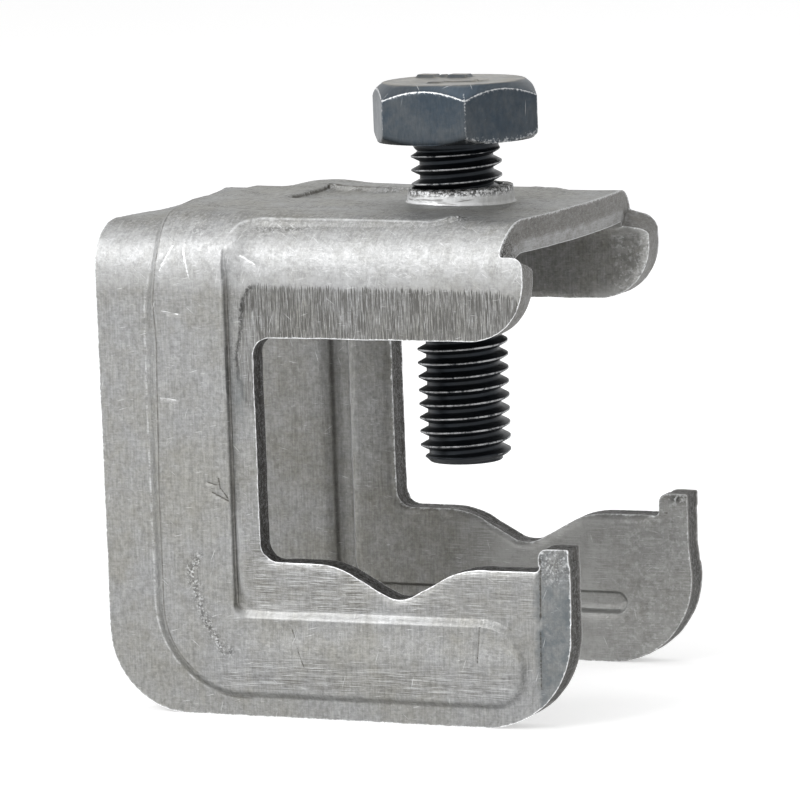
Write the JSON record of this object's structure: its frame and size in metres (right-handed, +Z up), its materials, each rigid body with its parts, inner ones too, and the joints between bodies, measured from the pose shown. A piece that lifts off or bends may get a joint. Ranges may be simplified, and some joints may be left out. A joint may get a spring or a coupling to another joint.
{
  "type": "rebar earthing clamp",
  "caption": "Folded aluminium plate clamp with C-shaped vee-notched cheeks, a pressed rib and a dark hexagon screw that presses a bar into the notches.",
  "frame": {"origin": "middle of the footprint, in the plane of the cheeks' lower edges", "axes": "+X toward the open jaw, +Y along the clamped bar, +Z up along the screw"},
  "size_m": [0.0534, 0.0418, 0.0667],
  "materials": {
    "plate": "pressed, scuffed and scored",
    "screw": "dark blued, worn bright at the edges"
  },
  "bodies": {
    "body": {"clamp_body": "plate"},
    "screw": {"clamp_bolt": "screw"}
  },
  "joints": [
    {"name": "screw_feed", "type": "slide", "parent": "body", "child": "screw", "axis": [0, 0, -1], "range_m": [-0.02, 0.0051]}
  ]
}
